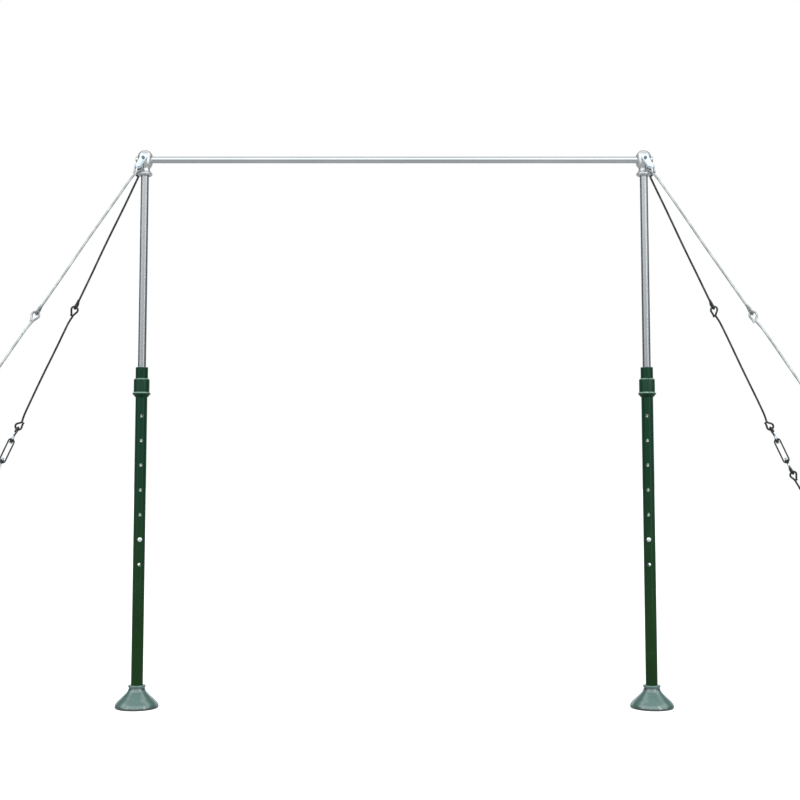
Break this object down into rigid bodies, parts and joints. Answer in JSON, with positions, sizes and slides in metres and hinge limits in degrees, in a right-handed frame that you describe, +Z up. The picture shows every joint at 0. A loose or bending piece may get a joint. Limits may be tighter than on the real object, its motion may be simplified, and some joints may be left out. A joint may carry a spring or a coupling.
{
  "type": "guyed horizontal bar",
  "caption": "Free-standing gymnastics high bar: a steel bar on telescopic posts with bell-shaped feet, stayed by linked rod guys with turnbuckles.",
  "frame": {"origin": "on the floor, midway between the two posts", "axes": "+X along the bar to the right, -Y to the front, +Z up"},
  "size_m": [5.3898, 1.8462, 2.639],
  "materials": {
    "post_paint": "gloss dark green paint",
    "foot_paint": "gloss grey-green paint",
    "galvanised_steel": "dull zinc coating",
    "bar_steel": "polished along the bar",
    "cast_head": "silver paint over a casting",
    "zinc_plate": "bright zinc plate",
    "bright_rod": "bright zinc plate",
    "dark_rod": "dark oiled steel",
    "nylon": "moulded black nylon"
  },
  "bodies": {
    "base": {"left_foot": "foot_paint", "left_outer_post": "post_paint", "left_collar": "post_paint", "left_guide_sleeve": "post_paint", "right_foot": "foot_paint", "right_outer_post": "post_paint", "right_collar": "post_paint", "right_guide_sleeve": "post_paint"},
    "upper_frame": {"bar": "bar_steel", "left_inner_post": "galvanised_steel", "left_glide_plug": "nylon", "left_head": "cast_head", "left_head_bolt": "zinc_plate", "left_head_nut": "zinc_plate", "right_inner_post": "galvanised_steel", "right_glide_plug": "nylon", "right_head": "cast_head", "right_head_bolt": "zinc_plate", "right_head_nut": "zinc_plate", "front_left_guy_plate": "zinc_plate", "front_left_plate_pin": "zinc_plate", "front_right_guy_plate": "zinc_plate", "front_right_plate_pin": "zinc_plate", "rear_left_guy_plate": "zinc_plate", "rear_left_plate_pin": "zinc_plate", "rear_right_guy_plate": "zinc_plate", "rear_right_plate_pin": "zinc_plate"},
    "left_height_pin": {"left_height_pin": "zinc_plate"},
    "right_height_pin": {"right_height_pin": "zinc_plate"},
    "front_left_guy": {"front_left_upper_rod": "bright_rod", "front_left_middle_rod": "bright_rod", "front_left_turnbuckle_hook": "bright_rod"},
    "front_left_turnbuckle": {"front_left_turnbuckle_body": "bright_rod"},
    "front_left_lower_guy": {"front_left_turnbuckle_eye": "bright_rod", "front_left_lower_rod": "bright_rod", "front_left_floor_anchor": "galvanised_steel"},
    "front_right_guy": {"front_right_upper_rod": "bright_rod", "front_right_middle_rod": "bright_rod", "front_right_turnbuckle_hook": "bright_rod"},
    "front_right_turnbuckle": {"front_right_turnbuckle_body": "bright_rod"},
    "front_right_lower_guy": {"front_right_turnbuckle_eye": "bright_rod", "front_right_lower_rod": "bright_rod", "front_right_floor_anchor": "galvanised_steel"},
    "rear_left_guy": {"rear_left_upper_rod": "dark_rod", "rear_left_middle_rod": "dark_rod", "rear_left_turnbuckle_hook": "dark_rod"},
    "rear_left_turnbuckle": {"rear_left_turnbuckle_body": "dark_rod"},
    "rear_left_lower_guy": {"rear_left_turnbuckle_eye": "dark_rod", "rear_left_lower_rod": "dark_rod", "rear_left_floor_anchor": "galvanised_steel"},
    "rear_right_guy": {"rear_right_upper_rod": "dark_rod", "rear_right_middle_rod": "dark_rod", "rear_right_turnbuckle_hook": "dark_rod"},
    "rear_right_turnbuckle": {"rear_right_turnbuckle_body": "dark_rod"},
    "rear_right_lower_guy": {"rear_right_turnbuckle_eye": "dark_rod", "rear_right_lower_rod": "dark_rod", "rear_right_floor_anchor": "galvanised_steel"}
  },
  "joints": [
    {"name": "height_adjust", "type": "slide", "parent": "base", "child": "upper_frame", "axis": [0, 0, 1], "range_m": [0, 0.58]},
    {"name": "left_height_pin_pull", "type": "slide", "parent": "base", "child": "left_height_pin", "axis": [0.2588, -0.9659, 0], "range_m": [0, 0.085]},
    {"name": "right_height_pin_pull", "type": "slide", "parent": "base", "child": "right_height_pin", "axis": [-0.2588, -0.9659, 0], "range_m": [0, 0.085]},
    {"name": "front_left_guy_swing", "type": "hinge", "parent": "upper_frame", "child": "front_left_guy", "pos_m": [-1.22232, -0.036, 2.55178], "axis": [0.503, -0.8643, 0], "range_deg": [0, 12.5]},
    {"name": "front_left_turnbuckle_turn", "type": "hinge", "parent": "front_left_guy", "child": "front_left_turnbuckle", "pos_m": [-2.02132, -0.49962, 1.11215], "axis": [-0.467, -0.2718, -0.8414], "range_deg": [0, 4330]},
    {"name": "front_left_take_up", "type": "slide", "parent": "front_left_guy", "child": "front_left_lower_guy", "axis": [0.467, 0.2718, 0.8414], "range_m": [0, 0.021]},
    {"name": "front_right_guy_swing", "type": "hinge", "parent": "upper_frame", "child": "front_right_guy", "pos_m": [1.22232, -0.036, 2.55178], "axis": [0.503, 0.8643, 0], "range_deg": [0, 12.5]},
    {"name": "front_right_turnbuckle_turn", "type": "hinge", "parent": "front_right_guy", "child": "front_right_turnbuckle", "pos_m": [2.02132, -0.49962, 1.11215], "axis": [0.467, -0.2718, -0.8414], "range_deg": [0, 4330]},
    {"name": "front_right_take_up", "type": "slide", "parent": "front_right_guy", "child": "front_right_lower_guy", "axis": [-0.467, 0.2718, 0.8414], "range_m": [0, 0.021]},
    {"name": "rear_left_guy_swing", "type": "hinge", "parent": "upper_frame", "child": "rear_left_guy", "pos_m": [-1.22232, 0.036, 2.55178], "axis": [-0.503, -0.8643, 0], "range_deg": [0, 12.5]},
    {"name": "rear_left_turnbuckle_turn", "type": "hinge", "parent": "rear_left_guy", "child": "rear_left_turnbuckle", "pos_m": [-1.97135, 0.47054, 1.20218], "axis": [-0.467, 0.2718, -0.8414], "range_deg": [0, 4330]},
    {"name": "rear_left_take_up", "type": "slide", "parent": "rear_left_guy", "child": "rear_left_lower_guy", "axis": [0.467, -0.2718, 0.8414], "range_m": [0, 0.021]},
    {"name": "rear_right_guy_swing", "type": "hinge", "parent": "upper_frame", "child": "rear_right_guy", "pos_m": [1.22232, 0.036, 2.55178], "axis": [-0.503, 0.8643, 0], "range_deg": [0, 12.5]},
    {"name": "rear_right_turnbuckle_turn", "type": "hinge", "parent": "rear_right_guy", "child": "rear_right_turnbuckle", "pos_m": [1.97135, 0.47054, 1.20218], "axis": [0.467, 0.2718, -0.8414], "range_deg": [0, 4330]},
    {"name": "rear_right_take_up", "type": "slide", "parent": "rear_right_guy", "child": "rear_right_lower_guy", "axis": [-0.467, -0.2718, 0.8414], "range_m": [0, 0.021]}
  ],
  "couplings": [
    {"joint": "front_left_guy_swing", "follows": "height_adjust", "rad_per_m": 0.36},
    {"joint": "front_left_turnbuckle_turn", "follows": "front_left_take_up", "rad_per_m": 3590.4},
    {"joint": "front_right_guy_swing", "follows": "height_adjust", "rad_per_m": 0.36},
    {"joint": "front_right_turnbuckle_turn", "follows": "front_right_take_up", "rad_per_m": 3590.4},
    {"joint": "rear_left_guy_swing", "follows": "height_adjust", "rad_per_m": 0.36},
    {"joint": "rear_left_turnbuckle_turn", "follows": "rear_left_take_up", "rad_per_m": 3590.4},
    {"joint": "rear_right_guy_swing", "follows": "height_adjust", "rad_per_m": 0.36},
    {"joint": "rear_right_turnbuckle_turn", "follows": "rear_right_take_up", "rad_per_m": 3590.4}
  ]
}
